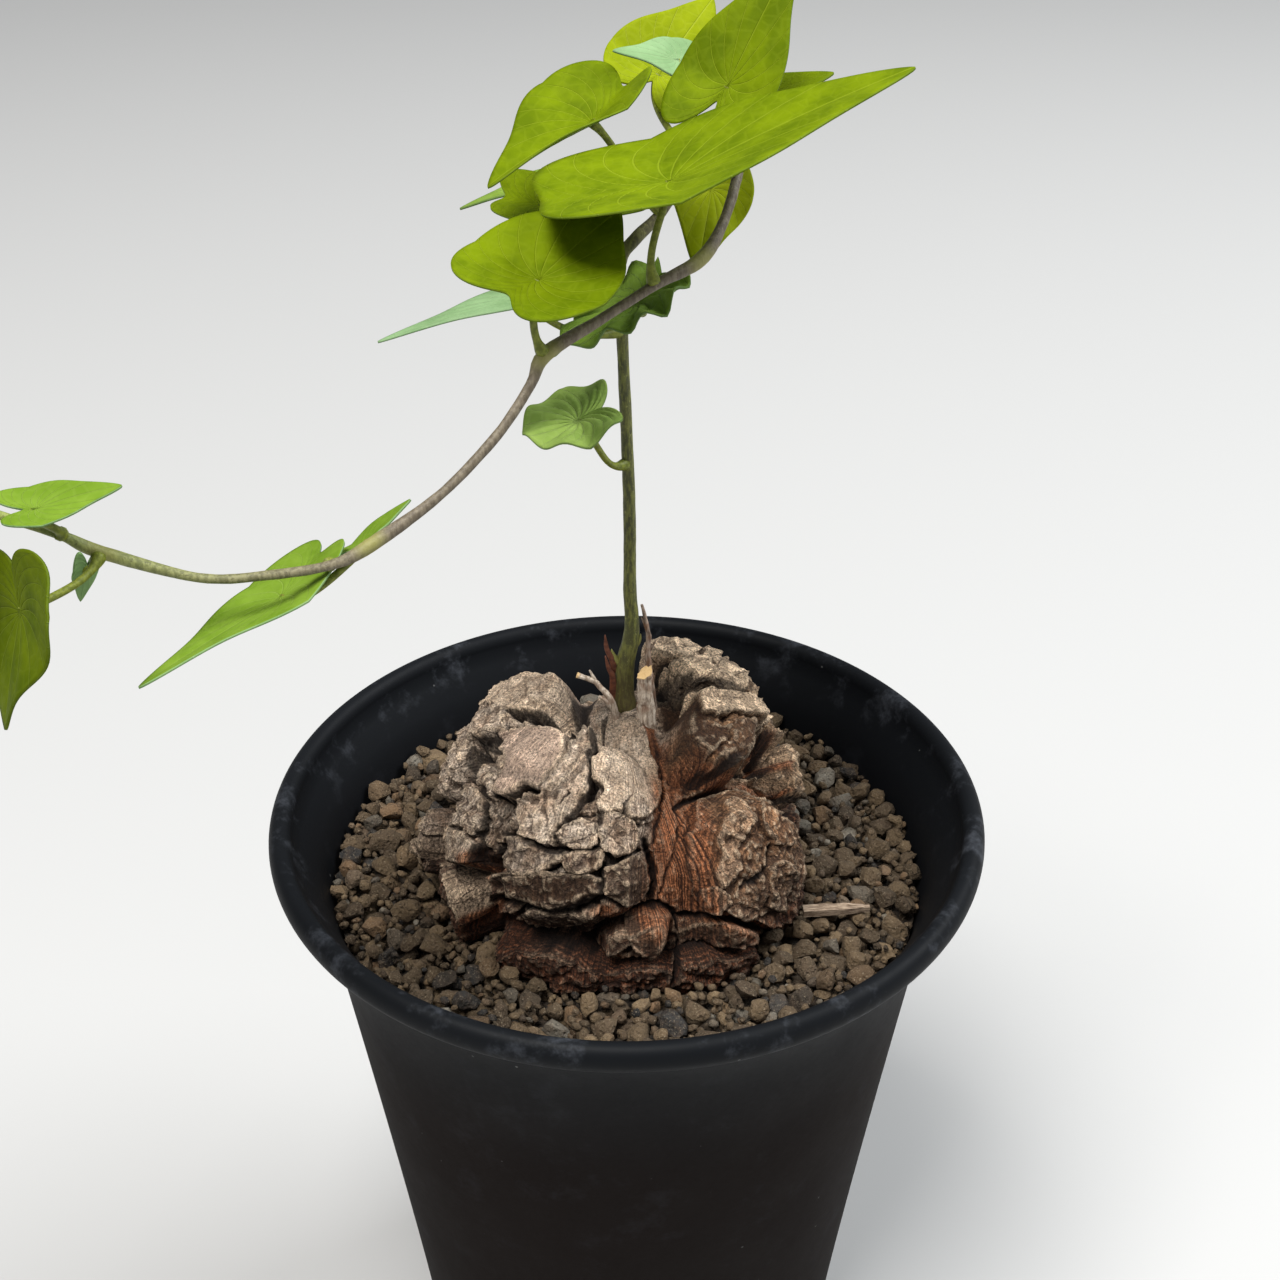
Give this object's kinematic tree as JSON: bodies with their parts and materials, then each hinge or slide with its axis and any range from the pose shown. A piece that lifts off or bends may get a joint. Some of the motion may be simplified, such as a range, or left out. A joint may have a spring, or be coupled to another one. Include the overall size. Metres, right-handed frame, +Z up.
{
  "type": "potted elephants foot plant",
  "caption": "Caudex plant in a round black pot of gravel: a corky, fissured tuber with one upright stem that turns over into a thin trailing vine with heart-shaped leaves.",
  "frame": {"origin": "middle of the pot's underside, on the surface that it stands on", "axes": "+Z up along the pot's axis, -Y towards the side that the caudex shows best, -X towards the vine's growing tip"},
  "size_m": [0.156, 0.139, 0.264],
  "materials": {
    "black_plastic": "satin",
    "gravel": "matte",
    "cork": "matte",
    "stem": "satin",
    "leaf": "satin",
    "dead_wood": "matte",
    "dry_scale": "matte",
    "bark": "matte"
  },
  "bodies": {
    "root": {"pot": "black_plastic", "soil": "gravel", "bark_chip": "bark", "caudex": "cork", "stem": "stem", "twig_left": "dead_wood", "twig_right": "dead_wood", "stump": "dead_wood", "scale_left": "dry_scale", "leaf_front": "leaf", "leaf_top": "leaf", "leaf_sliver": "leaf", "leaf_pair": "leaf", "leaf_under": "leaf", "leaf_upper_left": "leaf", "leaf_dark_tip": "leaf", "leaf_left": "leaf", "leaf_mid": "leaf", "leaf_small_pale": "leaf", "leaf_right": "leaf", "leaf_crinkled": "leaf", "leaf_on_stem": "leaf", "leaf_long": "leaf", "leaf_edge": "leaf", "leaf_hang": "leaf", "leaf_pale_left": "leaf", "leaf_narrow": "leaf", "leaf_shoot": "leaf", "leaf_newest": "leaf"}
  },
  "joints": []
}
